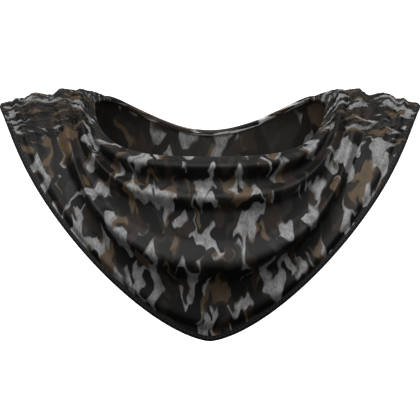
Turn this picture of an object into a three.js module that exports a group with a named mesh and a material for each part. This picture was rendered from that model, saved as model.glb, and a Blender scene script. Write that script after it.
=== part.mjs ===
// A bandana-style neck gaiter as worn, in millimetres: +Z up the neck, -Y to the wearer's front.
// The origin is on the neck axis, at the height where the lining rests on the shoulders.
//
// A double layer of printed fabric goes round the neck. The front hangs in swags between the
// two shoulders and ends in a point; rows of elastic inside the shoulders gather it there.
// The plain back hangs from a bound neck edge. Front and back meet in a seam behind each shoulder.
//
// Every piece is laid out in two coordinates: an angle round the neck (0 at the front centre,
// 90 at the shoulders, 180 at the back centre) and "down", from 0 at the neck edge to 1 at the
// hem. A height above the fabric's base surface, along its normal, makes the third.
import * as THREE from "three";

// ---- Overall sizes ----
const NECK_HALF_WIDTH = 88; // neck axis to the neck edge over a shoulder
const SHOULDER_HALF_WIDTH = 160; // neck axis to the hem over a shoulder
const NECK_FRONT_REACH = 77; // neck axis forward to the neck edge
const SWAG_FRONT_REACH = 91; // neck axis forward to the base behind the deep swag
const HEM_FRONT_REACH = 90; // neck axis forward to the point of the hem
const NECK_BACK_REACH = 76; // neck axis back to the neck edge
const HEM_BACK_REACH = 92; // neck axis back to the hem
const NECK_FRONT_DROP = 33; // shoulder rest down to the neck edge in front
const NECK_BACK_DROP = 29; // shoulder rest down to the neck edge behind
const FRONT_LENGTH = 134.5; // neck edge down to the point of the hem
const BACK_LENGTH = 84; // neck edge down to the hem behind
const INNER_SHOULDER_RISE = 4.8; // shoulder rest up to the base's highest row
const OUTER_SHOULDER_RISE = 1.8; // and up to the base at the crease outside the deep swag
const HEM_SHOULDER_FALL = 3.5; // shoulder rest down to the base at the hem

// ---- Layers and trims ----
const SHELL_THICKNESS = 1.0;
const LINING_THICKNESS = 0.8;
const CLEARANCE = 0.3; // between two pieces that lie on each other
const LAYER_CLEARANCE = 0.5; // the same, where curved layers are cut into flats differently
const FACING_DEPTH = 10; // how far the shell turns in at the front neck edge
const ELASTIC_WIDTH = 6;
const ELASTIC_THICKNESS = 0.8;
const BINDING_WIDTH = 4;
const BINDING_THICKNESS = 0.7;
const THREAD_THICKNESS = 0.6;
const STITCH_INSET = 2.8; // finished edge to a row of stitches

// ---- Angles round the neck, in degrees ----
const SWAG_END = 45; // the swags in front keep their full height up to here
const RIDGE_START = 80; // and have turned into the shoulder's ridges here
const SHOULDER = 90;
const SEAM = 118; // front centre to each back seam
const SEAM_GAP = 0.32; // half the opening between the panels at a seam
const SEAM_STITCH_INSET = 1.5; // seam to the row of stitches beside it
const GATHER_START = 60; // where the elastic begins, in front of the shoulder
const GATHER_END = 115; // where it ends, just before the seam, and the ridges have faded out
const STEP = 5; // between the cross-sections that a piece is swept through

// The rows of folds from neck edge to hem. down: share of the way down the panel. out: share
// of the way out along the shoulder. front and shoulder: how far the fold stands off the base.
const ROWS = [
  { down: 0, out: 0, front: 0, shoulder: 0 }, // neck edge
  { down: 0.05, out: 0.045, front: 7.5, shoulder: 1.5 }, // first roll
  { down: 0.13, out: 0.085, front: 0.3, shoulder: 0.5 }, // first crease
  { down: 0.16, out: 0.115, front: 0.8, shoulder: 1.4 }, // under the second roll
  { down: 0.222, out: 0.165, front: 8, shoulder: 4 }, // second roll
  { down: 0.295, out: 0.24, front: 1.3, shoulder: 0 }, // second crease
  { down: 0.44, out: 0.285, front: 3, shoulder: 2.4 }, // above the swag
  { down: 0.565, out: 0.35, front: 12.5, shoulder: 4 }, // deep swag
  { down: 0.68, out: 0.47, front: 2, shoulder: 0 }, // crease under the swag
  { down: 0.77, out: 0.635, front: 0.8, shoulder: 4.5 }, // outer tuck
  { down: 0.88, out: 0.785, front: 2.6, shoulder: 0.5 }, // outer crease
  { down: 0.91, out: 0.83, front: 1.6, shoulder: 2.5 }, // last tuck
  { down: 0.938, out: 0.88, front: 0, shoulder: 0 }, // above the hem binding
  { down: 1, out: 1, front: 0, shoulder: 0 }, // hem
];
// The crease that each elastic makes.
const ELASTIC_ROWS = [
  { name: "neck", down: 0.13 },
  { name: "inner", down: 0.295 },
  { name: "outer", down: 0.68 },
  { name: "hem", down: 0.88 },
];
// How the rows hang from the shoulders. flatness keeps a row level further from the middle.
// A low roundness makes it square at the sides, and a high one makes it a V.
const FRONT_HANG = [
  { down: 0, flatness: 4.5, roundness: 0.47 },
  { down: 0.28, flatness: 3, roundness: 0.53 },
  { down: 0.55, flatness: 2.2, roundness: 0.6 },
  { down: 1, flatness: 1.5, roundness: 0.84 },
];
const BACK_HANG = [
  { down: 0, flatness: 2, roundness: 1.85 },
  { down: 1, flatness: 2, roundness: 1 },
];
const SHOULDER_SOFTNESS = 0.15; // rounds the top of the shoulder, where the rows would peak
// The base over the shoulder, by the share of the way out.
const SHOULDER_RISES = [
  { out: 0, rise: 0 },
  { out: 0.24, rise: INNER_SHOULDER_RISE },
  { out: 0.5, rise: OUTER_SHOULDER_RISE },
  { out: 1, rise: -HEM_SHOULDER_FALL },
];

const degrees = Math.PI / 180;
const { lerp, smoothstep } = THREE.MathUtils;

// A smooth curve of one column of a table against another. It doesn't overshoot the points,
// and goes straight on past the ends.
function curve(table, along, column) {
  const xs = table.map((row) => row[along]);
  const ys = table.map((row) => row[column]);
  const last = xs.length - 1;
  const chord = xs.slice(1).map((x, i) => (ys[i + 1] - ys[i]) / (x - xs[i]));
  const slope = xs.map((_, i) => {
    if (i === 0) return chord[0];
    if (i === last) return chord[last - 1];
    const [before, after] = [chord[i - 1], chord[i]];
    return before * after <= 0 ? 0 : (2 * before * after) / (before + after);
  });
  return (x) => {
    if (x <= xs[0]) return ys[0] + slope[0] * (x - xs[0]);
    if (x >= xs[last]) return ys[last] + slope[last] * (x - xs[last]);
    const i = xs.findIndex((knot) => knot > x) - 1;
    const width = xs[i + 1] - xs[i];
    const t = (x - xs[i]) / width;
    const sway = width * t * (1 - t) * ((1 - t) * slope[i] - t * slope[i + 1]);
    return lerp(ys[i], ys[i + 1], t * t * (3 - 2 * t)) + sway;
  };
}

const outShare = curve(ROWS, "down", "out");
const frontFold = curve(ROWS, "down", "front");
const shoulderFold = curve(ROWS, "down", "shoulder");
const shoulderRise = curve(SHOULDER_RISES, "out", "rise");
const FRONT_REACHES = [
  { down: 0, reach: NECK_FRONT_REACH },
  { down: 0.6, reach: SWAG_FRONT_REACH },
  { down: 1, reach: HEM_FRONT_REACH },
];
const front = {
  direction: -1,
  drop: NECK_FRONT_DROP,
  length: FRONT_LENGTH,
  reach: curve(FRONT_REACHES, "down", "reach"),
  flatness: curve(FRONT_HANG, "down", "flatness"),
  roundness: curve(FRONT_HANG, "down", "roundness"),
};
const back = {
  direction: 1,
  drop: NECK_BACK_DROP,
  length: BACK_LENGTH,
  reach: (down) => lerp(NECK_BACK_REACH, HEM_BACK_REACH, down),
  flatness: curve(BACK_HANG, "down", "flatness"),
  roundness: curve(BACK_HANG, "down", "roundness"),
};

// A point on the base surface, which the lining follows and the folds stand on.
function basePoint(angle, down) {
  const around = Math.abs(angle);
  const half = around <= SHOULDER ? front : back;
  const turn = (around <= SHOULDER ? around : 180 - around) * degrees;
  const hang = Math.max(0, 1 - Math.sin(turn) ** half.flatness(down)) ** half.roundness(down);
  const out = outShare(down);
  const halfWidth = lerp(NECK_HALF_WIDTH, SHOULDER_HALF_WIDTH, out);
  return new THREE.Vector3(
    Math.sign(angle) * halfWidth * Math.sin(turn),
    half.direction * half.reach(down) * Math.cos(turn),
    lerp(
      shoulderRise(out),
      -half.drop - half.length * down,
      hang * Math.tanh(hang / SHOULDER_SOFTNESS),
    ),
  );
}

const NUDGE = 0.001; // for slopes taken from two near points

// The base surface's slopes round the neck and down the fabric, and its outward normal.
function frameAt(angle, down) {
  const round = basePoint(angle + NUDGE, down).sub(basePoint(angle - NUDGE, down));
  const across = basePoint(angle, down + NUDGE).sub(basePoint(angle, down - NUDGE));
  return {
    round: round.divideScalar(2 * NUDGE),
    across: across.divideScalar(2 * NUDGE),
    normal: across.clone().cross(round).normalize(),
  };
}

function pointAt(angle, down, height) {
  return basePoint(angle, down).addScaledVector(frameAt(angle, down).normal, height);
}

// The "down" that lies a distance in millimetres further down the fabric.
function further(angle, down, distance) {
  const pieces = 8;
  let at = down;
  for (let i = 0; i < pieces; i++) at += distance / pieces / frameAt(angle, at).across.length();
  return at;
}

// The angle that lies a distance in millimetres further round the neck.
const aside = (angle, down, distance) => angle + distance / frameAt(angle, down).round.length();

// How far the shell stands off the base: the swags in front fade into the shoulder's ridges,
// which fade out behind it.
function foldHeight(angle, down) {
  const around = Math.abs(angle);
  const toShoulder = smoothstep(around, SWAG_END, RIDGE_START);
  const pastShoulder = smoothstep(around, SHOULDER, GATHER_END);
  return lerp(frontFold(down), shoulderFold(down), toShoulder) * (1 - pastShoulder);
}

const LINING_TOP = -(CLEARANCE + ELASTIC_THICKNESS + LAYER_CLEARANCE); // clear of the elastic
// ---- Making closed bodies ----
// Every piece is cut through at the same angles, so that neighbours bend alike.
function anglesBetween(from, to) {
  const inner = [];
  for (let angle = STEP * Math.ceil(from / STEP + 0.1); angle < to - 0.1 * STEP; angle += STEP)
    inner.push(angle);
  return [from, ...inner, to];
}

function steps(from, to, count) {
  return Array.from({ length: count + 1 }, (_, i) => lerp(from, to, i / count));
}

// Joins rings of points into one closed body. outline is a ring laid flat, for the end caps.
function closedBody(rings, outline) {
  const count = outline.length;
  if (THREE.ShapeUtils.isClockWise(outline)) [outline, ...rings].forEach((ring) => ring.reverse());
  const points = rings.flat();
  const faces = [];
  for (let start = 0; start + count < points.length; start += count)
    for (let i = 0; i < count; i++) {
      const [a, b] = [start + i, start + ((i + 1) % count)];
      const [c, d] = [a + count, b + count];
      const shorter = points[a].distanceTo(points[d]) < points[b].distanceTo(points[c]);
      faces.push(...(shorter ? [[a, b, d], [a, d, c]] : [[a, b, c], [b, d, c]]));
    }
  const lastRing = points.length - count;
  for (const [a, b, c] of THREE.ShapeUtils.triangulateShape(outline, []))
    faces.push([a, c, b], [lastRing + a, lastRing + b, lastRing + c]);
  const volume = faces.reduce(
    (sum, [a, b, c]) => sum + points[a].dot(points[b].clone().cross(points[c])),
    0,
  );
  const outward = volume > 0 ? faces : faces.map(([a, b, c]) => [a, c, b]);
  const geometry = new THREE.BufferGeometry().setFromPoints(points).setIndex(outward.flat());
  geometry.computeVertexNormals();
  return geometry;
}

// Sweeps a section through a list of places. Each point is (angle, down, height). The end caps
// are cut up as they look along the sweep.
function sweep(sections) {
  const rings = sections.map((section) => section.map((place) => pointAt(...place)));
  const [angle, down] = sections[0][Math.floor(sections[0].length / 4)];
  const { across, normal } = frameAt(angle, down);
  across.normalize();
  const outline = rings[0].map((p) => new THREE.Vector2(p.dot(across), p.dot(normal)));
  return closedBody(rings, outline);
}

// Sweeps a section of (down, height) points round the neck.
function sweepRound(angles, sectionAt) {
  return sweep(angles.map((angle) => sectionAt(angle).map((point) => [angle, ...point])));
}

// A section of even thickness through a list of downs. lowAt gives the height of its underside.
function layerSection(downs, lowAt, thickness) {
  return [
    ...downs.map((down) => [down, lowAt(down)]),
    ...downs.map((down) => [down, lowAt(down) + thickness]).reverse(),
  ];
}

// A tape or thread round the neck, centred on downAt.
function tape(angles, downAt, width, lowAt, thickness) {
  return sweepRound(angles, (angle) => {
    const start = further(angle, downAt(angle), -width / 2);
    const end = further(angle, downAt(angle), width / 2);
    const downs = steps(start, end, width > 2 * THREAD_THICKNESS ? 2 : 1);
    return layerSection(downs, (down) => lowAt(angle, down), thickness);
  });
}

// ---- Materials ----
const fabric = (colour, roughness) =>
  new THREE.MeshStandardMaterial({ color: colour, roughness, metalness: 0 });
const printedShell = fabric(0x2b2926, 0.6);
const printedLining = fabric(0x242220, 0.75);
const blackBinding = fabric(0x121212, 0.65);
const printedBinding = fabric(0x4a4038, 0.6);
const blackElastic = fabric(0x1a1a1a, 0.85);
const greyThread = fabric(0x3a3a3a, 0.5);

const gaiter = new THREE.Group();
function add(name, geometry, material) {
  const mesh = new THREE.Mesh(geometry, material);
  mesh.name = name;
  gaiter.add(mesh);
}

// ---- Panels ----
const frontAngles = anglesBetween(-SEAM + SEAM_GAP, SEAM - SEAM_GAP);
const backAngles = anglesBetween(SEAM + SEAM_GAP, 360 - SEAM - SEAM_GAP).map((angle) =>
  angle > 180 ? angle - 360 : angle,
);
const EDGE_INSET = BINDING_THICKNESS + CLEARANCE; // a panel stops this far inside its binding
const TURN_POINTS = 4; // round the fold at the front neck edge
const FACING_STEPS = 3;

const [LAST_TUCK, BINDING_TOP] = ROWS.slice(-3, -1).map((row) => row.down);

// The rows between the two edges, and a point halfway from each to the next.
const innerDowns = ROWS.slice(1, -1).map((row) => row.down);
const foldDowns = innerDowns.flatMap((down, i) =>
  i === 0 ? [down] : [(innerDowns[i - 1] + down) / 2, down],
);

// The front shell turns in at the neck edge and comes down inside as a facing.
function frontShellSection(angle) {
  const facingTop = LINING_TOP;
  const outerRadius = (SHELL_THICKNESS - facingTop + LINING_THICKNESS) / 2;
  const innerRadius = outerRadius - (SHELL_THICKNESS + LINING_THICKNESS) / 2;
  const middle = SHELL_THICKNESS - outerRadius;
  const arc = (radius) =>
    steps(-90, 90, TURN_POINTS).map((turn) => [
      further(angle, 0, outerRadius - radius * Math.cos(turn * degrees)),
      middle + radius * Math.sin(turn * degrees),
    ]);
  const hem = further(angle, 1, -EDGE_INSET);
  const facingEnd = further(angle, 0, FACING_DEPTH);
  const facing = steps(facingEnd, further(angle, 0, outerRadius), FACING_STEPS).slice(0, -1);
  return [
    ...facing.map((down) => [down, facingTop - LINING_THICKNESS]),
    ...arc(outerRadius),
    ...foldDowns.map((down) => [down, foldHeight(angle, down) + SHELL_THICKNESS]),
    [hem, SHELL_THICKNESS],
    [hem, 0],
    ...foldDowns.map((down) => [down, foldHeight(angle, down)]).reverse(),
    ...arc(innerRadius).reverse(),
    ...facing.map((down) => [down, facingTop]).reverse(),
  ];
}

add("front_shell", sweepRound(frontAngles, frontShellSection), printedShell);

// The lining starts under the facing, and past the last tuck it rises to meet the shell in the
// hem binding.
const LINING_STEPS = 10;
function frontLiningSection(angle) {
  const start = further(angle, 0, FACING_DEPTH + CLEARANCE);
  const intoBinding = further(angle, 1, -BINDING_WIDTH - CLEARANCE);
  const end = further(angle, 1, -EDGE_INSET);
  const downs = [...steps(start, LAST_TUCK, LINING_STEPS), intoBinding, end];
  const top = (down) => lerp(LINING_TOP, -CLEARANCE, smoothstep(down, LAST_TUCK, intoBinding));
  return layerSection(downs, (down) => top(down) - LINING_THICKNESS, LINING_THICKNESS);
}
add("front_lining", sweepRound(frontAngles, frontLiningSection), printedLining);

// The back is cut at the front's rows below the neck binding, so that they meet at the seams.
const BACK_START_ROW = 2; // the first crease
const backDowns = (angle) => [
  further(angle, 0, EDGE_INSET),
  further(angle, 0, BINDING_WIDTH),
  ...foldDowns.filter((down) => down >= ROWS[BACK_START_ROW].down),
  further(angle, 1, -EDGE_INSET),
];
add(
  "back_shell",
  sweepRound(backAngles, (angle) =>
    layerSection(backDowns(angle), (down) => foldHeight(angle, down), SHELL_THICKNESS),
  ),
  printedShell,
);
add(
  "back_lining",
  sweepRound(backAngles, (angle) =>
    layerSection(backDowns(angle), () => -CLEARANCE - LINING_THICKNESS, LINING_THICKNESS),
  ),
  printedLining,
);

// ---- Bindings: a folded tape over each cut edge ----
function bindingSection(angle, edge) {
  const inward = edge === 0 ? 1 : -1;
  const at = (distance) => further(angle, edge, inward * distance);
  const insideTop = SHELL_THICKNESS + LAYER_CLEARANCE;
  const insideLow = -CLEARANCE - LINING_THICKNESS - LAYER_CLEARANCE;
  return [
    [at(BINDING_WIDTH), insideTop],
    [at(BINDING_WIDTH), insideTop + BINDING_THICKNESS],
    [at(0), insideTop + BINDING_THICKNESS],
    [at(0), insideLow - BINDING_THICKNESS],
    [at(BINDING_WIDTH), insideLow - BINDING_THICKNESS],
    [at(BINDING_WIDTH), insideLow],
    [at(BINDING_THICKNESS), insideLow],
    [at(BINDING_THICKNESS), insideTop],
  ];
}
add("front_hem_binding", sweepRound(frontAngles, (a) => bindingSection(a, 1)), blackBinding);
add("back_hem_binding", sweepRound(backAngles, (a) => bindingSection(a, 1)), blackBinding);
add("back_neck_binding", sweepRound(backAngles, (a) => bindingSection(a, 0)), printedBinding);

// ---- Elastics in the shoulders, each with the row of stitches that holds it ----
const SIDES = [
  { side: "left", sign: 1 },
  { side: "right", sign: -1 },
];
const stitchHeight = (angle, down) => foldHeight(angle, down) + SHELL_THICKNESS + LAYER_CLEARANCE;
const elasticLow = () => -CLEARANCE - ELASTIC_THICKNESS;
for (const { side, sign } of SIDES)
  for (const { name, down } of ELASTIC_ROWS) {
    const angles = anglesBetween(GATHER_START, GATHER_END).map((angle) => sign * angle);
    const piece = `${side}_${name}_elastic`;
    const elastic = tape(angles, () => down, ELASTIC_WIDTH, elasticLow, ELASTIC_THICKNESS);
    const thread = tape(angles, () => down, THREAD_THICKNESS, stitchHeight, THREAD_THICKNESS);
    add(piece, elastic, blackElastic);
    add(`${piece}_stitching`, thread, greyThread);
  }

// ---- Stitching along the bindings and the back seams ----
const bindingTop = SHELL_THICKNESS + LAYER_CLEARANCE + BINDING_THICKNESS;
function edgeStitching(angles, edge) {
  const inward = edge === 0 ? 1 : -1;
  const downAt = (angle) => further(angle, edge, inward * STITCH_INSET);
  const low = () => bindingTop + CLEARANCE;
  return tape(angles, downAt, THREAD_THICKNESS, low, THREAD_THICKNESS);
}
add("front_hem_stitching", edgeStitching(frontAngles, 1), greyThread);
add("back_hem_stitching", edgeStitching(backAngles, 1), greyThread);
add("back_neck_stitching", edgeStitching(backAngles, 0), greyThread);

const SEAM_STITCH_STEPS = 14;
function seamStitching(angle) {
  const top = further(angle, 0, BINDING_WIDTH + CLEARANCE);
  const low = SHELL_THICKNESS + LAYER_CLEARANCE;
  const corners = layerSection([0, THREAD_THICKNESS], () => low, THREAD_THICKNESS);
  return sweep(
    steps(top, BINDING_TOP, SEAM_STITCH_STEPS).map((down) =>
      corners.map(([shift, height]) => [aside(angle, down, shift), down, height]),
    ),
  );
}
for (const { side, sign } of SIDES)
  add(`${side}_back_seam_stitching`, seamStitching(sign * (SEAM - SEAM_STITCH_INSET)), greyThread);

export default gaiter;
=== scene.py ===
import math

import bmesh
import bpy
import numpy as np
from mathutils import Matrix, Vector


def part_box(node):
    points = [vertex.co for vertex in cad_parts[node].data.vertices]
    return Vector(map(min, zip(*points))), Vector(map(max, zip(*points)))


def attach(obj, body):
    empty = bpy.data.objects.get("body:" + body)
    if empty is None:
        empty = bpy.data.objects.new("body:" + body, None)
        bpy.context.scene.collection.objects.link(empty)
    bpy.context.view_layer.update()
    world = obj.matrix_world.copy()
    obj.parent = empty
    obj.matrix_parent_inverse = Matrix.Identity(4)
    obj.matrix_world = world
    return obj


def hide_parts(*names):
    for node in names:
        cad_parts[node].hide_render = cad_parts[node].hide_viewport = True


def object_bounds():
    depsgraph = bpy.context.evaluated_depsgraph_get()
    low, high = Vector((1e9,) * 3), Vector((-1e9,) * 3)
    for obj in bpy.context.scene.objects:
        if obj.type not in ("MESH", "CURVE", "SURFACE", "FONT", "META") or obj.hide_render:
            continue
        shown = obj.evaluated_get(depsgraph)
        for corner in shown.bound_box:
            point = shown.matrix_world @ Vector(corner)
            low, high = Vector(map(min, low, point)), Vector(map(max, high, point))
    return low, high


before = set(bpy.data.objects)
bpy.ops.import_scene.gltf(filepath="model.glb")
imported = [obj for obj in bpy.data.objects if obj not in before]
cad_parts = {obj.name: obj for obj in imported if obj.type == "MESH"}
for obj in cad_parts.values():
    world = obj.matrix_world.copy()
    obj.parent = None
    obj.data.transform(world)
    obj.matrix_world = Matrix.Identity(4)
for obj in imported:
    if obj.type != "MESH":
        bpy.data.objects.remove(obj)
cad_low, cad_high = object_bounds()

# ---- Front shell ----
# The outer layer of the front: a smooth printed knit that hangs in swags between the shoulders
# and ends in a rounded point. Its neck edge is turned in as a facing, and four elastics inside
# each shoulder gather it into fine crinkles. Lengths are in metres, angles in degrees.
MM = 0.001
SHELL_THICKNESS = 1.0 * MM
ELASTIC_THICKNESS = 0.8 * MM
BINDING_THICKNESS = 0.7 * MM
CLEARANCE = 0.3 * MM
LAYER_CLEARANCE = 0.5 * MM
FACING_DEPTH = 10 * MM
LINING_TOP = -(CLEARANCE + ELASTIC_THICKNESS + LAYER_CLEARANCE)

# The hem's furthest points are the frame's own, less the binding that lies past and under them.
BINDING_PAST_SHOULDER = 0.3 * MM
BINDING_UNDER_HEM = 1.2 * MM
SHOULDER_HALF_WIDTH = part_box("front_hem_binding")[1].x - BINDING_PAST_SHOULDER
FRONT_HEM_DROP = -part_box("front_hem_binding")[0].z - BINDING_UNDER_HEM
BACK_HEM_DROP = -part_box("back_hem_binding")[0].z - BINDING_UNDER_HEM
NECK_HALF_WIDTH = 88 * MM
NECK_FRONT_DROP = 33 * MM
NECK_BACK_DROP = 29 * MM

# Angle 0 is the front centre, 90 a shoulder and 180 the back centre.
SHOULDER = 90.0
SEAM = 118.0
SEAM_GAP = 0.02
GATHER_END = 115.0
SWAG_END, RIDGE_START = 45.0, 80.0

# Rows of folds: share down the panel, share out along the shoulder, and how far the fold stands
# off the base in front and at the shoulder, in millimetres.
ROWS = [
    (0.0, 0.0, 0.0, 0.0),
    (0.05, 0.045, 7.5, 1.5),
    (0.13, 0.085, 0.3, 0.5),
    (0.16, 0.115, 0.8, 1.4),
    (0.222, 0.165, 8.0, 4.0),
    (0.295, 0.24, 1.3, 0.0),
    (0.44, 0.285, 3.0, 2.4),
    (0.565, 0.35, 12.5, 4.0),
    (0.68, 0.47, 2.0, 0.0),
    (0.77, 0.635, 0.8, 4.5),
    (0.88, 0.785, 2.6, 0.5),
    (0.91, 0.83, 1.6, 2.5),
    (0.938, 0.88, 0.0, 0.0),
    (1.0, 1.0, 0.0, 0.0),
]
# How the rows hang from the shoulders: share down, flatness, roundness.
FRONT_HANG = [(0.0, 4.5, 0.47), (0.28, 3.0, 0.53), (0.55, 2.2, 0.6), (1.0, 1.5, 0.84)]
BACK_HANG = [(0.0, 2.0, 1.85), (1.0, 2.0, 1.0)]
# How far they reach forward and back, and how the shoulder line rises, in millimetres.
FRONT_REACH = [(0.0, 77.0), (0.6, 91.0), (1.0, 90.0)]
BACK_REACH = [(0.0, 76.0), (1.0, 92.0)]
SHOULDER_RISE = [(0.0, 0.0), (0.24, 4.8), (0.5, 1.8), (1.0, -3.5)]
SHOULDER_SOFTNESS = 0.15


def curve(table, column):
    """A smooth curve of one column of a table against its first, without overshoot."""
    xs = np.array([row[0] for row in table])
    ys = np.array([row[column] for row in table])
    chord = np.diff(ys) / np.diff(xs)
    before, after = chord[:-1], chord[1:]
    total = np.where(before + after == 0, 1, before + after)
    inner = np.where(before * after <= 0, 0, 2 * before * after / total)
    slope = np.concatenate([chord[:1], inner, chord[-1:]])

    def at(x):
        x = np.asarray(x, dtype=float)
        i = np.clip(np.searchsorted(xs, x, side="right") - 1, 0, len(xs) - 2)
        width = xs[i + 1] - xs[i]
        t = np.clip((x - xs[i]) / width, 0, 1)
        sway = width * t * (1 - t) * ((1 - t) * slope[i] - t * slope[i + 1])
        beyond = (x - np.clip(x, xs[0], xs[-1])) * np.where(x < xs[0], slope[0], slope[-1])
        return ys[i] + (ys[i + 1] - ys[i]) * t * t * (3 - 2 * t) + sway + beyond

    return at


def lerp(a, b, t):
    return a + (b - a) * t


def smoothstep(x, low, high):
    t = np.clip((x - low) / (high - low), 0, 1)
    return t * t * (3 - 2 * t)


out_share, front_fold, shoulder_fold = (curve(ROWS, i) for i in (1, 2, 3))
front_flatness, front_roundness = curve(FRONT_HANG, 1), curve(FRONT_HANG, 2)
back_flatness, back_roundness = curve(BACK_HANG, 1), curve(BACK_HANG, 2)
front_reach, back_reach = curve(FRONT_REACH, 1), curve(BACK_REACH, 1)
shoulder_rise = curve(SHOULDER_RISE, 1)


def base_point(angle, down):
    """Points of the surface that the lining follows and the folds stand on."""
    around = np.abs(angle)
    front = around <= SHOULDER
    turn = np.radians(np.where(front, around, 180 - around))
    flatness = np.where(front, front_flatness(down), back_flatness(down))
    roundness = np.where(front, front_roundness(down), back_roundness(down))
    hang = np.maximum(0, 1 - np.abs(np.sin(turn)) ** flatness) ** roundness
    front_drop = lerp(NECK_FRONT_DROP, FRONT_HEM_DROP, down)
    back_drop = lerp(NECK_BACK_DROP, BACK_HEM_DROP, down)
    out = out_share(down)
    x = np.sign(angle) * lerp(NECK_HALF_WIDTH, SHOULDER_HALF_WIDTH, out) * np.sin(turn)
    y = np.where(front, -front_reach(down), back_reach(down)) * MM * np.cos(turn)
    drop = np.where(front, front_drop, back_drop)
    z = lerp(shoulder_rise(out) * MM, -drop, hang * np.tanh(hang / SHOULDER_SOFTNESS))
    return np.stack([x, y, z], axis=-1)


def slopes(angle, down, nudge=0.001):
    """How the base surface runs round the neck and down the fabric, per degree and per share."""
    around = base_point(angle + nudge, down) - base_point(angle - nudge, down)
    across = base_point(angle, down + nudge) - base_point(angle, down - nudge)
    return around / (2 * nudge), across / (2 * nudge)


def place(angle, down, height):
    """Points at a height over the base surface, along its outward normal."""
    angle, down, height = np.broadcast_arrays(angle, down, height)
    around, across = slopes(angle, down)
    normal = np.cross(across, around)
    normal /= np.linalg.norm(normal, axis=-1, keepdims=True)
    return base_point(angle, down) + normal * height[..., None]


def further(angle, down, distance, steps=8):
    """The share down the fabric that lies a distance further down it."""
    angle, down, distance = np.broadcast_arrays(angle, down, distance)
    at = np.array(down, dtype=float)
    for _ in range(steps):
        at += distance / steps / np.linalg.norm(slopes(angle, at)[1], axis=-1)
    return at


def waves(table, x, y):
    """A sum of waves, each given by its size, its rate along x and y, and its start."""
    return sum(size * np.sin(x_rate * x + y_rate * y + start) for size, x_rate, y_rate, start in table)


# The gathers: about one crinkle to each 2.7 degrees, over as much of the fabric as lies within a
# short fall of the shoulder line, and back to the seam. They wander, so that no two run parallel.
GATHER_FALL = (14 * MM, 34 * MM)
CRINKLE_ANGLE = 2.7
CRINKLE_HEIGHT = 2.0 * MM
CRINKLE_WANDER = [(0.55, 0.23, 31, 0.0), (0.35, -0.41, 67, 1.3), (0.22, 0.9, 118, 0.4)]
CREST_SHARPNESS = 1.2
CREST_SHARE = 0.85
FINE_RATE = 2.3
EVEN_SIZE = 0.75
# In degrees, so that the two sides aren't alike.
SIDE_SHIFT = 7.0


def gathered(angle, down):
    """1 where the elastics gather the fabric fully, 0 where it hangs plain."""
    fall = shoulder_rise(out_share(down)) * MM - base_point(angle, down)[..., 2]
    before_seam = 1 - smoothstep(np.abs(angle), GATHER_END - 1, SEAM - 0.5)
    return before_seam * (1 - smoothstep(fall, *GATHER_FALL))


def crinkle(angle, down):
    """The height of the crinkles over the fold that carries them."""
    around = np.abs(angle) + SIDE_SHIFT * np.sign(angle)
    wander = waves(CRINKLE_WANDER, around, down)
    turns = around / CRINKLE_ANGLE + wander
    crest = (0.5 + 0.5 * np.cos(2 * np.pi * turns)) ** CREST_SHARPNESS
    fine = 0.5 + 0.5 * np.cos(2 * np.pi * (FINE_RATE * turns + 2 * wander))
    size = EVEN_SIZE + (1 - EVEN_SIZE) * np.sin(0.8 * around + 17 * down)
    shape = CREST_SHARE * crest + (1 - CREST_SHARE) * fine
    return CRINKLE_HEIGHT * gathered(angle, down) * size * shape


# The hanging cloth is never quite even or symmetric. It is calm near its edges.
DRIFT = [(1.0, 2.3, 5, 0.6), (0.7, 4.1, -9, 2.1), (0.5, 7.3, 13, 4.0)]
DRIFT_HEIGHT = 0.45 * MM
DRIFT_START, DRIFT_END = (0.02, 0.12), (0.86, 0.94)


def drift(angle, down):
    """The slow unevenness of the hanging cloth."""
    wave = waves(DRIFT, np.radians(angle), down) / sum(row[0] for row in DRIFT)
    calm_edges = smoothstep(down, *DRIFT_START) * (1 - smoothstep(down, *DRIFT_END))
    return DRIFT_HEIGHT * (1 + wave) * calm_edges * (1 - gathered(angle, down))


def fold_height(angle, down):
    """How far the shell stands off the base: swags in front, ridges over the shoulder."""
    around = np.abs(angle)
    to_shoulder = smoothstep(around, SWAG_END, RIDGE_START)
    past_shoulder = smoothstep(around, SHOULDER, GATHER_END)
    fold = lerp(front_fold(down), shoulder_fold(down), to_shoulder) * MM
    return fold * (1 - past_shoulder)


def shell_height(angle, down):
    """The middle of the front shell's thickness."""
    relief = drift(angle, down) + crinkle(angle, down)
    return fold_height(angle, down) + relief + SHELL_THICKNESS / 2


# The painted shade in the creases under the neck edge: where they lie down the panel, and how low the
# fold is there.
CREASE_START, CREASE_STOP = (0.04, 0.1), (0.3, 0.4)
CREASE_FOLD = (3.5, 0.5)


def crevice_shading(angle, down):
    """1 where painted shade darkens the colour, at the bottom of the crinkles and of the creases under
    the neck edge, 0 on top.
    """
    between = 1 - crinkle(angle, down) / CRINKLE_HEIGHT
    near_neck = smoothstep(down, *CREASE_START) * (1 - smoothstep(down, *CREASE_STOP))
    crease = smoothstep(front_fold(down), *CREASE_FOLD) * near_neck
    return lerp(crease, between ** 3, gathered(angle, down))


def spread_angles(low, high, count, close_from, closeness=3.0):
    """Angles from high to low, closer together past close_from on both sides."""
    fine = np.linspace(low, high, 4000)
    density = 1 + (closeness - 1) * smoothstep(np.abs(fine), close_from - 4, close_from + 4)
    total = np.concatenate([[0], np.cumsum((density[1:] + density[:-1]) / 2)])
    return np.interp(np.linspace(total[-1], 0, count), total, fine)


def from_mesh(name, mesh):
    """An object in the scene from a mesh under construction, smooth all over."""
    for face in mesh.faces:
        face.smooth = True
    data = bpy.data.meshes.new(name)
    mesh.to_mesh(data)
    mesh.free()
    made = bpy.data.objects.new(name, data)
    bpy.context.collection.objects.link(made)
    return made


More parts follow.
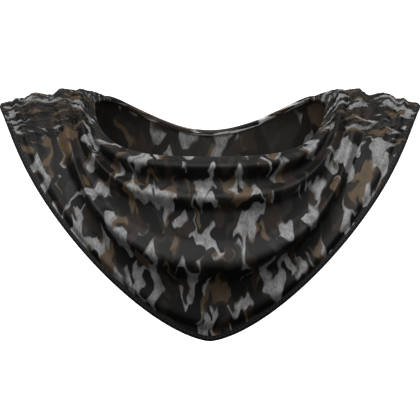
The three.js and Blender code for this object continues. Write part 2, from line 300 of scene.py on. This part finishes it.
def cloth(name, points, prints, thickness, crevice_shade=None):
    """A sheet through a grid of points, with its print laid out in the UV map, thickened."""
    columns, rows = points.shape[:2]
    mesh = bmesh.new()
    bmesh.ops.create_grid(mesh, x_segments=columns - 1, y_segments=rows - 1, size=0.5)
    print_map = mesh.loops.layers.uv.new("print")
    # A float attribute of painted shade, 1 at the bottom of the crevices and 0 on top.
    depth = mesh.verts.layers.float.new("crevice_shade")
    where = {}
    for vertex in mesh.verts:
        column = round((vertex.co.x + 0.5) * (columns - 1))
        row = round((vertex.co.y + 0.5) * (rows - 1))
        where[vertex] = (column, row)
        vertex.co = points[column, row]
        vertex[depth] = 0 if crevice_shade is None else crevice_shade[column, row]
    for face in mesh.faces:
        for loop in face.loops:
            loop[print_map].uv = prints[where[loop.vert]]
    piece = from_mesh(name, mesh)
    solidify = piece.modifiers.new("Thickness", "SOLIDIFY")
    solidify.thickness = thickness
    solidify.offset = 0
    return piece


def dress(piece, node, material):
    """Gives a piece its material, hangs it from the root, and hides the frame's node that it stands
    for.
    """
    piece.data.materials.append(material)
    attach(piece, "root")
    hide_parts(node)


# The facing runs up inside the neck, turns over the edge, and the hanging part starts there.
EDGE_INSET = BINDING_THICKNESS + CLEARANCE
TURN_RADIUS = (SHELL_THICKNESS - LINING_TOP) / 2
FACING_ROWS, TURN_ROWS, HANGING_ROWS = 6, 7, 94
FRONT_COLUMNS = 400
# Past this angle the columns stand closer together, for the crinkles.
CLOSE_FROM = 62.0
FOLDS_BLEND_IN = (0.01, 0.05)

front_angles = spread_angles(-SEAM + SEAM_GAP, SEAM - SEAM_GAP, FRONT_COLUMNS, CLOSE_FROM)
column = front_angles[:, None]
facing = further(column, 0, np.linspace(FACING_DEPTH, TURN_RADIUS, FACING_ROWS, endpoint=False))
arc = np.radians(np.linspace(-90, 90, TURN_ROWS))
turned = further(column, 0, TURN_RADIUS * (1 - np.cos(arc)))
hanging_start = further(column, 0, TURN_RADIUS)
hanging_end = further(column, 1, -EDGE_INSET)
hanging = lerp(hanging_start, hanging_end, np.linspace(0, 1, HANGING_ROWS + 1)[1:])
facing_height = np.full_like(facing, SHELL_THICKNESS / 2 - 2 * TURN_RADIUS)
turn_height = SHELL_THICKNESS / 2 - TURN_RADIUS * (1 - np.sin(arc)) + 0 * turned
blend_in = smoothstep(hanging, *FOLDS_BLEND_IN)
hanging_height = lerp(SHELL_THICKNESS / 2, shell_height(column, hanging), blend_in)
front_downs = np.concatenate([facing, turned, hanging], axis=1)
front_heights = np.concatenate([facing_height, turn_height, hanging_height], axis=1)

# The gathers squeeze the print along the edge, and draw it out towards the shoulder.
GATHER_RATIO = 4.3
PULL_RATIO = 1.5
FOLD_SAMPLES = 200


def laid_out(angles, downs):
    """Where each point lies on the printed cloth: across, and up along the grain.

    The folds take up cloth in front, and the gathers take up their ratio of their own length.
    """
    column = angles[:, None]
    base = base_point(column, downs)
    samples = np.linspace(0, 1, FOLD_SAMPLES + 1)
    depth = np.gradient(front_fold(samples) * MM, 1 / FOLD_SAMPLES)
    fall = FRONT_HEM_DROP - NECK_FRONT_DROP
    taken = np.cumsum(np.hypot(depth, fall) - fall) / FOLD_SAMPLES
    in_swags = 1 - smoothstep(np.abs(column), SWAG_END, RIDGE_START)
    up = base[..., 2] - np.interp(downs, samples, taken) * in_swags
    share = gathered(column, downs)
    step = np.linalg.norm(np.diff(base[..., 1:], axis=0), axis=-1)
    step = step * lerp(1, GATHER_RATIO, (share[1:] + share[:-1]) / 2)
    for side in (1, -1):
        order = [i for i in range(len(angles)) if side * angles[i] > SWAG_END]
        order.sort(key=lambda i: side * angles[i])
        for before, i in zip(order, order[1:]):
            up[i] = up[before] + step[min(before, i)]
    across = base[..., 0]
    past_neck = across - np.clip(across, -NECK_HALF_WIDTH, NECK_HALF_WIDTH)
    return np.stack([across - (1 - 1 / PULL_RATIO) * share * past_neck, up], axis=-1)


front_shell = cloth(
    "front_shell_cloth",
    place(column, front_downs, front_heights),
    laid_out(front_angles, front_downs),
    SHELL_THICKNESS,
    # Painted shade for the crinkles and for the creases under the neck edge.
    crevice_shading(column, front_downs),
)


class Value:
    """A node's output. Arithmetic on it adds Math nodes."""

    def __init__(self, nodes, socket):
        self.nodes, self.socket = nodes, socket

    def math(self, operation, first, second=0.0, third=0.0, clamp=False):
        settings = {"operation": operation, "use_clamp": clamp}
        return self.nodes.node("ShaderNodeMath", settings, {0: first, 1: second, 2: third})

    def __add__(self, other):
        return self.math("ADD", self, other)

    def __radd__(self, other):
        return self.math("ADD", other, self)

    def __sub__(self, other):
        return self.math("SUBTRACT", self, other)

    def __rsub__(self, other):
        return self.math("SUBTRACT", other, self)

    def __mul__(self, other):
        return self.math("MULTIPLY", self, other)

    def __rmul__(self, other):
        return self.math("MULTIPLY", other, self)

    def ripple(self, pitch):
        """A wave that repeats at each pitch."""
        return self.math("SINE", self * (2 * math.pi / pitch))

    def over(self, edge, sharpness):
        """1 where the value is over an edge, 0 under it, with a narrow ramp between."""
        return self.math("MULTIPLY_ADD", self - edge, sharpness, 0.5, clamp=True)

    def beside(self, output):
        """Another output of the same node."""
        return Value(self.nodes, self.socket.node.outputs[output])


class Nodes:
    """A tree of shader nodes under construction."""

    def __init__(self, tree):
        self.tree = tree

    def node(self, kind, settings, inputs, output=0):
        made = self.tree.nodes.new(kind)
        for key, value in settings.items():
            setattr(made, key, value)
        self.feed(made, inputs)
        return Value(self, made.outputs[output])

    def feed(self, made, inputs):
        for key, value in inputs.items():
            if isinstance(value, Value):
                self.tree.links.new(value.socket, made.inputs[key])
            else:
                made.inputs[key].default_value = value

    def mix(self, factor, first, second):
        settings = {"data_type": "RGBA"}
        return self.node("ShaderNodeMix", settings, {0: factor, 6: first, 7: second}, output=2)

    def print_map(self):
        return self.node("ShaderNodeUVMap", {"uv_map": "print"}, {})

    def noise(self, where, size, offset, detail, roughness):
        """Noise in patches of about size = (across, up) metres."""
        inputs = {"Vector": where, "Location": (*offset, 0)}
        inputs["Scale"] = (1 / size[0], 1 / size[1], 1)
        moved = self.node("ShaderNodeMapping", {}, inputs)
        inputs = {"Vector": moved, "Scale": 1.0, "Detail": detail, "Roughness": roughness}
        return self.node("ShaderNodeTexNoise", {"noise_dimensions": "2D"}, inputs)

    def bump(self, strength, distance, height):
        inputs = {"Strength": strength, "Distance": distance, "Height": height}
        return self.node("ShaderNodeBump", {}, inputs)


class Finish(Nodes):
    """A material under construction."""

    def __init__(self, name):
        self.material = bpy.data.materials.new(name)
        self.material.use_nodes = True
        super().__init__(self.material.node_tree)
        self.shader = self.tree.nodes["Principled BSDF"]


# The print: a woodland camouflage of smooth-edged patches that stand upright, in charcoal, brown
# and tan on near-black, with a brushed light grey over them and a few black patches on top.
# Each layer has its darker and its paler ink, how they are mottled, and the shapes whose overlap
# it fills: their size across and up in millimetres, where they lie in the noise, and their edge.
NEAR_BLACK = (0.006, 0.0055, 0.005)
LAYERS = [
    ((0.011, 0.0105, 0.01), (0.023, 0.0225, 0.0215), "brushed", [(21, 30, (7.2, 11.6), 0.53)]),
    ((0.014, 0.0105, 0.008), (0.026, 0.0195, 0.0152), "cloudy", [(17, 29, (1.7, 4.2), 0.5)]),
    (
        (0.05, 0.034, 0.02),
        (0.115, 0.08, 0.048),
        "cloudy",
        [(15, 27, (12.3, 8.9), 0.54), (13, 21, (2.9, 26.3), 0.5)],
    ),
    (
        (0.11, 0.11, 0.11),
        (0.3, 0.3, 0.298),
        "brushed",
        [(14, 30, (5.6, 15.1), 0.5), (13, 24, (31.7, 6.2), 0.47)],
    ),
]
BLACK_SHAPES = [(10, 19, (21.9, 2.4), 0.57)]
EDGE_SHARPNESS = 22.0
# How far slow noise pushes the patches across and up, so that no two are alike.
SWAY, CLIMB = 13 * MM, 26 * MM


def camouflage(finish, where, light):
    """The print's colour, with each ink light times as bright as its own tone: a painted brightness
    that stands in for light.
    """
    sway = finish.noise(where, (15 * MM, 16 * MM), (3.1, 7.7), 1.0, 0.45)
    climb = finish.noise(where, (9 * MM, 34 * MM), (9.4, 1.2), 1.0, 0.45)
    amounts = {"X": (sway - 0.5) * SWAY, "Y": (climb - 0.5) * CLIMB}
    shift = finish.node("ShaderNodeCombineXYZ", {}, amounts)
    bent = finish.node("ShaderNodeVectorMath", {"operation": "ADD"}, {0: where, 1: shift})
    scratch = finish.noise(where, (0.7 * MM, 2.4 * MM), (0.3, 0.6), 4.0, 0.7)
    cloudy = finish.noise(where, (5 * MM, 9 * MM), (6.5, 3.3), 3.0, 0.6)
    mottles = {"cloudy": cloudy, "brushed": (scratch + cloudy - 0.5).over(0.5, 2.0)}

    def ink(tone):
        return (*(light * part for part in tone), 1.0)

    def filled(shapes):
        overlap, *others = [
            finish.noise(bent, (across * MM, up * MM), offset, 0.6, 0.4).over(edge, EDGE_SHARPNESS)
            for across, up, offset, edge in shapes
        ]
        for shape in others:
            overlap = overlap * shape
        return overlap

    colour = ink(NEAR_BLACK)
    for darker, paler, mottle, shapes in LAYERS:
        tone = finish.mix(mottles[mottle], ink(darker), ink(paler))
        colour = finish.mix(filled(shapes), colour, tone)
    return finish.mix(filled(BLACK_SHAPES), colour, ink(NEAR_BLACK))


# The knit: fine vertical wales crossed by courses, well under a millimetre apart, with some lint.
WALE, COURSE = 0.75 * MM, 0.6 * MM
KNIT_DEPTH = 0.12 * MM
KNIT_STRENGTH = 0.35
LINT = 1.5


def knit(finish, where):
    across = finish.node("ShaderNodeSeparateXYZ", {}, {"Vector": where})
    up = across.beside("Y")
    lint = finish.noise(where, (2.2 * MM, 2.2 * MM), (2.2, 8.8), 3.0, 0.6)
    loops = across.ripple(WALE) * up.ripple(COURSE)
    return finish.bump(KNIT_STRENGTH, KNIT_DEPTH, loops + lint * LINT)


# The wrong side is faded, and painted shade darkens the bottoms of the crevices.
FADED_TONE = (0.03, 0.027, 0.024)
CREVICE_SHADE_TONE = (0.004, 0.0037, 0.0034, 1)
CREVICE_SHADE_DARKNESS = 0.3
WEAR = 0.2


def printed_fabric(name, light, faded, roughness, sheen):
    """The printed knit: light times as bright as its inks, as painted light, and faded towards one
    dull tone.
    """
    finish = Finish(name)
    where = finish.print_map()
    dull = (*(light * part for part in FADED_TONE), 1)
    colour = finish.mix(faded, camouflage(finish, where, light), dull)
    crevice_shade = finish.node("ShaderNodeAttribute", {"attribute_name": "crevice_shade"}, {}, "Fac")
    worn = finish.noise(where, (9 * MM, 9 * MM), (4.4, 6.6), 3.0, 0.6)
    inputs = {
        # Painted shade: the colour darkens towards the crevice tone in the crevices.
        "Base Color": finish.mix(crevice_shade * CREVICE_SHADE_DARKNESS, colour, CREVICE_SHADE_TONE),
        "Roughness": worn * WEAR + (roughness - WEAR / 2),
        "Normal": knit(finish, where),
        "Sheen Weight": sheen,
        "Sheen Roughness": 0.45,
        "Specular IOR Level": 0.16,
    }
    finish.feed(finish.shader, inputs)
    return finish.material


shell_fabric = printed_fabric(
    "printed_shell_knit", light=1.1, faded=0.0, roughness=0.45, sheen=0.01
)
dress(front_shell, "front_shell", shell_fabric)


# ---- Elastics ----
# Flat braided elastic, 6 mm wide, stitched stretched into the four creases of each shoulder,
# between shell and lining. They stay the frame's own shapes, and get their braid here.
ELASTIC_ROWS = {"neck": 0.13, "inner": 0.295, "outer": 0.68, "hem": 0.88}
SIDES = {"left": 1, "right": -1}


def elastic_finish():
    finish = Finish("braided_elastic")
    inputs = {"Vector": finish.node("ShaderNodeTexCoord", {}, {}, "Object")}
    inputs |= {"Scale": 1100.0, "Randomness": 0.3}
    braid = finish.node("ShaderNodeTexVoronoi", {}, inputs)
    inputs = {
        "Base Color": finish.mix(braid, (0.02, 0.02, 0.02, 1), (0.006, 0.006, 0.006, 1)),
        "Roughness": braid * 0.2 + 0.6,
        "Normal": finish.bump(0.6, 0.2 * MM, braid),
    }
    finish.feed(finish.shader, inputs)
    return finish.material


braided_elastic = elastic_finish()
elastics = [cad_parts[f"{side}_{row}_elastic"] for side in SIDES for row in ELASTIC_ROWS]
for elastic in elastics:
    elastic.data.materials.clear()
    elastic.data.materials.append(braided_elastic)


# ---- Front lining ----
# The inner layer of the front: the same print, cut to the same shape, wrong side showing. It
# starts under the facing, lies behind the elastics, and joins the shell in the hem binding.
LINING_THICKNESS = 0.8 * MM
BINDING_WIDTH = 4 * MM
LINING_ROWS, LINING_COLUMNS = 60, 260
LAST_TUCK = ROWS[-3][0]
LINING_CRINKLE = 0.5

lining_angles = spread_angles(-SEAM + SEAM_GAP, SEAM - SEAM_GAP, LINING_COLUMNS, CLOSE_FROM)
column = lining_angles[:, None]
lining_start = further(column, 0, FACING_DEPTH + CLEARANCE)
lining_end = further(column, 1, -EDGE_INSET)
into_binding = further(column, 1, -BINDING_WIDTH - CLEARANCE)
lining_downs = lerp(lining_start, lining_end, np.linspace(0, 1, LINING_ROWS))
rise = smoothstep(lining_downs, LAST_TUCK, into_binding)
lining_middle = lerp(LINING_TOP, -CLEARANCE, rise) - LINING_THICKNESS / 2
lining_relief = LINING_CRINKLE * crinkle(column, lining_downs) * (1 - rise)
front_lining = cloth(
    "front_lining_cloth",
    place(column, lining_downs, lining_middle - lining_relief),
    laid_out(lining_angles, lining_downs),
    LINING_THICKNESS,
)
# The lining's print is painted 2.7 times as bright as its inks: painted light on layers that lie in
# shade inside the neck.
lining_fabric = printed_fabric(
    "printed_lining_knit", light=2.7, faded=0.4, roughness=0.5, sheen=0.02
)
dress(front_lining, "front_lining", lining_fabric)


# ---- Back shell and back lining ----
# The plain back: two layers of the print, sewn to the front behind each shoulder and bound
# along the neck and the hem. Nothing gathers them.
BACK_COLUMNS, BACK_ROWS = 170, 70
BACK_DRIFT = 0.8
BACK_PRINT_START = [0.4, 0.07]
LINING_PRINT_SCALE = 0.62
LINING_PRINT_START = [0.31, 0.2]


def behind(count):
    """Angles across the back, from one seam to the other."""
    angles = np.linspace(SEAM + SEAM_GAP, 360 - SEAM - SEAM_GAP, count)[::-1]
    return np.where(angles > 180, angles - 360, angles)


column = behind(BACK_COLUMNS)[:, None]
back_start, back_end = further(column, 0, EDGE_INSET), further(column, 1, -EDGE_INSET)
back_downs = lerp(back_start, back_end, np.linspace(0, 1, BACK_ROWS))
back_prints = base_point(column, back_downs)[..., [0, 2]] * [-1, 1] + BACK_PRINT_START
back_shell = cloth(
    "back_shell_cloth",
    place(column, back_downs, BACK_DRIFT * drift(column, back_downs) + SHELL_THICKNESS / 2),
    back_prints,
    SHELL_THICKNESS,
)
dress(back_shell, "back_shell", shell_fabric)
back_lining = cloth(
    "back_lining_cloth",
    place(column, back_downs, -CLEARANCE - LINING_THICKNESS / 2),
    LINING_PRINT_SCALE * back_prints + LINING_PRINT_START,
    LINING_THICKNESS,
)
dress(back_lining, "back_lining", lining_fabric)


# ---- Bindings ----
# Tape folded over the raw edges of both layers and stitched through: black over the hems, and a
# strip of the print over the back neck edge, whose patches show as long streaks.
LEG_ROWS, BEND_ROWS = 6, 9
HEM_COLUMNS, TRIM_COLUMNS = 520, 260
HEM_CLOSENESS = 1.6
BINDING_GAP = 0.05 * MM
BINDING_TOP = SHELL_THICKNESS + BINDING_GAP + BINDING_THICKNESS
# The tape takes up half the height that the crinkles have at this row, near the hem.
TAPE_CRINKLE = 0.5
TAPE_CRINKLE_ROW = 0.9
# How the strip's print is drawn out along it and squeezed across it.
STRIP_STREAK = (0.35, 6.0)


def tape_lift(angle):
    return TAPE_CRINKLE * crinkle(angle, np.full_like(angle, TAPE_CRINKLE_ROW))


def along(points):
    """How far each point of a line lies from its start."""
    steps = np.linalg.norm(np.diff(points, axis=0), axis=-1)
    return np.concatenate([[0], np.cumsum(steps)])


def binding(name, node, angles, edge, material, streak=(1.0, 1.0)):
    """Tape round an edge: a leg outside, a bend over the edge, and a leg inside."""
    column = angles[:, None]
    outer = BINDING_TOP - BINDING_THICKNESS / 2
    inner = -CLEARANCE - LINING_THICKNESS - BINDING_GAP - BINDING_THICKNESS / 2
    radius = (outer - inner) / 2
    turn = np.radians(np.linspace(90, -90, BEND_ROWS))
    legs = np.linspace(BINDING_WIDTH, radius, LEG_ROWS, endpoint=False)
    distance = np.concatenate([legs, radius * (1 - np.cos(turn)), legs[::-1]])
    bend = inner + radius * (1 + np.sin(turn))
    height = np.concatenate([np.full(LEG_ROWS, outer), bend, np.full(LEG_ROWS, inner)])
    inward = -1
    if edge == 0:
        inward = 1
        distance, height = distance[::-1], height[::-1]
    downs = further(column, edge, inward * (distance + BINDING_THICKNESS / 2))
    lift = tape_lift(column) * (height > inner + radius / 2)
    points = place(column, downs, height + lift)
    length = along(points[:, 0])[:, None]
    run = along(np.stack([distance, height], axis=-1))[None, :]
    prints = np.stack(np.broadcast_arrays(length, run), axis=-1) * streak
    piece = cloth(name, points, prints, BINDING_THICKNESS)
    dress(piece, node, material)
    return piece


# The tape is a ribbed grosgrain: ribs across it, and threads along it.
RIB, THREAD = 0.7 * MM, 0.45 * MM
RIB_DEPTH = 0.12 * MM


def tape_finish():
    finish = Finish("black_tape")
    where = finish.print_map()
    length = finish.node("ShaderNodeSeparateXYZ", {}, {"Vector": where})
    width = length.beside("Y")
    fade = finish.noise(where, (14 * MM, 4 * MM), (1.1, 2.2), 3.0, 0.6)
    inputs = {
        "Base Color": finish.mix(fade, (0.004, 0.004, 0.004, 1), (0.012, 0.0115, 0.011, 1)),
        "Roughness": fade * 0.2 + 0.5,
        "Normal": finish.bump(0.5, RIB_DEPTH, length.ripple(RIB) + width.ripple(THREAD) * 0.5),
        "Sheen Weight": 0.02,
        "Sheen Roughness": 0.5,
        "Specular IOR Level": 0.2,
    }
    finish.feed(finish.shader, inputs)
    return finish.material


black_tape = tape_finish()
# The strip's print is painted 3.2 times as bright as its inks: a painted highlight for the lit rim of
# the back neck edge.
strip_fabric = printed_fabric(
    "printed_strip_knit", light=3.2, faded=0.0, roughness=0.5, sheen=0.02
)
hem_angles = spread_angles(
    -SEAM + SEAM_GAP, SEAM - SEAM_GAP, HEM_COLUMNS, CLOSE_FROM, HEM_CLOSENESS
)
trim_angles = behind(TRIM_COLUMNS)
front_hem = binding(
    "front_hem_tape", "front_hem_binding", hem_angles, 1, black_tape
)
back_hem = binding(
    "back_hem_tape", "back_hem_binding", trim_angles, 1, black_tape
)
back_neck = binding(
    "back_neck_strip",
    "back_neck_binding",
    trim_angles,
    0,
    strip_fabric,
    STRIP_STREAK,
)


# ---- Stitching ----
# Dark grey polyester thread: rows of straight lockstitch through the bindings, beside the back
# seams, and along each elastic. Each stitch shows as a small long oval of thread.
STITCH_PITCH = 3.0 * MM
STITCH_LENGTH = 2.3 * MM
STITCH_RADIUS = 0.24 * MM
STITCH_FLATNESS = 1.2
STITCH_INSET = 2.8 * MM
# How high a stitch's middle lies over the tape and over the knit, in its radii.
OVER_TAPE, OVER_KNIT = 0.4, 0.3
# In degrees: how far the seam's stitches are from the seam, and where an elastic's begin.
SEAM_STITCH_INSET = 1.5
ELASTIC_START = 60.0
SEAM_STITCH_END = ROWS[-2][0]
SEAM_SAMPLES, ELASTIC_SAMPLES = 200, 400


def thread_finish():
    finish = Finish("grey_thread")
    inputs = {"Vector": finish.node("ShaderNodeTexCoord", {}, {}, "Object")}
    inputs |= {"Scale": 1400.0, "Detail": 2.0}
    plies = finish.node("ShaderNodeTexNoise", {}, inputs)
    inputs = {
        "Base Color": finish.mix(plies, (0.006, 0.006, 0.006, 1), (0.022, 0.0215, 0.021, 1)),
        "Roughness": plies * 0.3 + 0.35,
        "Sheen Weight": 0.1,
    }
    finish.feed(finish.shader, inputs)
    return finish.material


grey_thread = thread_finish()


def on_binding(angles, downs):
    return BINDING_TOP + tape_lift(angles) + OVER_TAPE * STITCH_RADIUS


def on_shell(angles, downs):
    return shell_height(angles, downs) + SHELL_THICKNESS / 2 + OVER_KNIT * STITCH_RADIUS


def stitching(name, node, angles, downs, height_at):
    """Separate stitches along a row of places on the fabric."""
    heights = height_at(angles, downs)
    line = place(angles, downs, heights)
    above = place(angles, downs, heights + MM)
    distance = along(line)

    def at(points, middle):
        return Vector([np.interp(middle, distance, points[:, k]) for k in range(3)])

    size = (STITCH_RADIUS, STITCH_RADIUS * STITCH_FLATNESS, STITCH_LENGTH / 2, 1)
    upright = Matrix.Diagonal(size)
    laid_down = Matrix.Rotation(math.pi / 2, 4, "Y") @ upright
    mesh = bmesh.new()
    for middle in np.arange(STITCH_PITCH / 2, distance[-1] - STITCH_PITCH / 2, STITCH_PITCH):
        ends = [at(line, middle + half) for half in (-STITCH_LENGTH / 2, STITCH_LENGTH / 2)]
        centre = at(line, middle)
        run = (ends[1] - ends[0]).normalized()
        side = (at(above, middle) - centre).cross(run).normalized()
        turn = Matrix((run, side, run.cross(side))).transposed().to_4x4()
        matrix = Matrix.Translation(centre) @ turn @ laid_down
        bmesh.ops.create_uvsphere(mesh, u_segments=6, v_segments=5, radius=1, matrix=matrix)
    piece = from_mesh(name, mesh)
    dress(piece, node, grey_thread)
    return piece


hem_stitches, seam_stitches, elastic_stitches = [], [], []
for name, angles, edge, inset in (
    ("front_hem", hem_angles, 1, -STITCH_INSET),
    ("back_hem", trim_angles, 1, -STITCH_INSET),
    ("back_neck", trim_angles, 0, STITCH_INSET),
):
    row = further(angles, edge, inset)
    hem_stitches.append(
        stitching(f"{name}_stitches", f"{name}_stitching", angles, row, on_binding)
    )
for side, sign in SIDES.items():
    seam_line = np.full(SEAM_SAMPLES, sign * (SEAM - SEAM_STITCH_INSET))
    top = further(seam_line[:1], 0, BINDING_WIDTH + CLEARANCE)[0]
    seam_downs = np.linspace(top, SEAM_STITCH_END, SEAM_SAMPLES)
    name, node = f"{side}_seam_stitches", f"{side}_back_seam_stitching"
    seam_stitches.append(stitching(name, node, seam_line, seam_downs, on_shell))
    for row, down in ELASTIC_ROWS.items():
        line = sign * np.linspace(ELASTIC_START, GATHER_END, ELASTIC_SAMPLES)
        name, node = f"{side}_{row}_elastic_stitches", f"{side}_{row}_elastic_stitching"
        elastic_stitches.append(stitching(name, node, line, np.full_like(line, down), on_shell))


# ---- Floor ----
# A pale paper sweep: a floor well under the hanging point, which curves up behind into a wall.
# It glows, so that it stays pale under the dim sky, and it throws no light on the object.
FLOOR = -0.36
FLOOR_FRONT, FLOOR_BACK = -6.0, 1.2
WALL_TOP = 5.0
SWEEP_WIDTH = 12.0
SWEEP_RADIUS = 0.8
SWEEP_STEPS = 12

profile = [(FLOOR_FRONT, FLOOR)]
for step in range(SWEEP_STEPS + 1):
    turn = math.pi / 2 * step / SWEEP_STEPS
    back, up = SWEEP_RADIUS * math.sin(turn), SWEEP_RADIUS * (1 - math.cos(turn))
    profile.append((FLOOR_BACK + back, FLOOR + up))
profile.append((FLOOR_BACK + SWEEP_RADIUS, WALL_TOP))
sweep = bmesh.new()
line = [sweep.verts.new((-SWEEP_WIDTH / 2, y, z)) for y, z in profile]
edges = [sweep.edges.new(pair) for pair in zip(line, line[1:])]
extruded = bmesh.ops.extrude_edge_only(sweep, edges=edges)["geom"]
moved = [item for item in extruded if isinstance(item, bmesh.types.BMVert)]
bmesh.ops.translate(sweep, verts=moved, vec=(SWEEP_WIDTH, 0, 0))
bmesh.ops.recalc_face_normals(sweep, faces=sweep.faces)
floor = from_mesh("pale_sweep", sweep)
paper = Finish("pale_paper")
look = {"Base Color": (0.9, 0.9, 0.9, 1), "Roughness": 0.9}
look |= {"Emission Color": (1, 1, 1, 1), "Emission Strength": 0.9}
paper.feed(paper.shader, look)
floor.data.materials.append(paper.material)
floor.visible_diffuse = False
floor.visible_glossy = False


# ---- Light ----
# A soft sky, bright overhead and dim below, so that the swags shade their own undersides, and
# two square softboxes: one high up and one far in front.
world = bpy.data.worlds.new("studio")
world.use_nodes = True
sky = Nodes(world.node_tree)
direction = sky.node("ShaderNodeTexCoord", {}, {}, "Generated")
upward = sky.node("ShaderNodeSeparateXYZ", {}, {"Vector": direction}, "Z")
ramp = {"Value": upward, "From Min": -0.3, "From Max": 1.0, "To Min": 0.02, "To Max": 0.6}
glow = sky.node("ShaderNodeMapRange", {}, ramp)
sky.feed(sky.tree.nodes["Background"], {"Color": (1, 1, 1, 1), "Strength": glow})
bpy.context.scene.world = world
bpy.context.scene.view_settings.view_transform = "Standard"


def softbox(name, location, size, power):
    light = bpy.data.lights.new(name, "AREA")
    light.shape, light.size, light.energy = "SQUARE", size, power
    lamp = bpy.data.objects.new(name, light)
    middle = (cad_low + cad_high) / 2
    lamp.location = location
    lamp.rotation_euler = (middle - Vector(location)).to_track_quat("-Z", "Y").to_euler()
    bpy.context.collection.objects.link(lamp)


softbox("top_light", (0.0, -0.6, 1.35), size=0.8, power=20)
softbox("front_light", (-0.2, -1.6, 0.3), size=0.9, power=3.5)


# ---- Camera ----
# A long lens in front of the object and a little above it, aimed at its middle.
CAMERA_DISTANCE = 1.41
CAMERA_RISE = math.radians(8.4)
FRAME_WIDTH = 0.323
SENSOR_WIDTH = 36
AIM = Vector((0.0, 0.0, -0.083))

lens = bpy.data.cameras.new("camera")
lens.sensor_width = SENSOR_WIDTH
lens.lens = SENSOR_WIDTH * CAMERA_DISTANCE / FRAME_WIDTH
camera = bpy.data.objects.new("camera", lens)
backward = Vector((0, -math.cos(CAMERA_RISE), math.sin(CAMERA_RISE)))
camera.location = AIM + CAMERA_DISTANCE * backward
camera.rotation_euler = (math.pi / 2 - CAMERA_RISE, 0, 0)
bpy.context.collection.objects.link(camera)
bpy.context.scene.camera = camera
